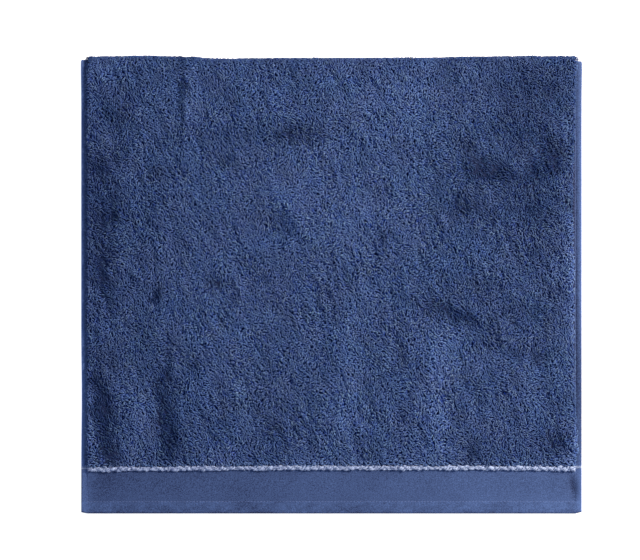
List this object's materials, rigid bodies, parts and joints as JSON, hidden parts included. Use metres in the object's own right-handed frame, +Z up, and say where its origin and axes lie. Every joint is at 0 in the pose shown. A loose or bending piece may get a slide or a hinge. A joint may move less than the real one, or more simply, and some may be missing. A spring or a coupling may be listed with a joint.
{
  "type": "hand towel",
  "caption": "Terry hand towel folded in half and lying flat, with a deep looped pile, narrow side hems, a flat woven border and a raised beaded row above it.",
  "frame": {"origin": "middle of the folded towel's footprint, on the surface that it lies on", "axes": "+X across the towel's width, +Y from the hems towards the fold, +Z up"},
  "size_m": [0.5, 0.4575, 0.0106],
  "materials": {
    "navy_terry": "navy cotton, looped terry pile with a flat woven border and turned hems",
    "lavender_chenille": "white cotton with a lavender cast, raised twisted row"
  },
  "bodies": {
    "root": {"towel": "navy_terry", "accent_row_front": "lavender_chenille", "accent_row_back": "lavender_chenille"}
  },
  "joints": []
}
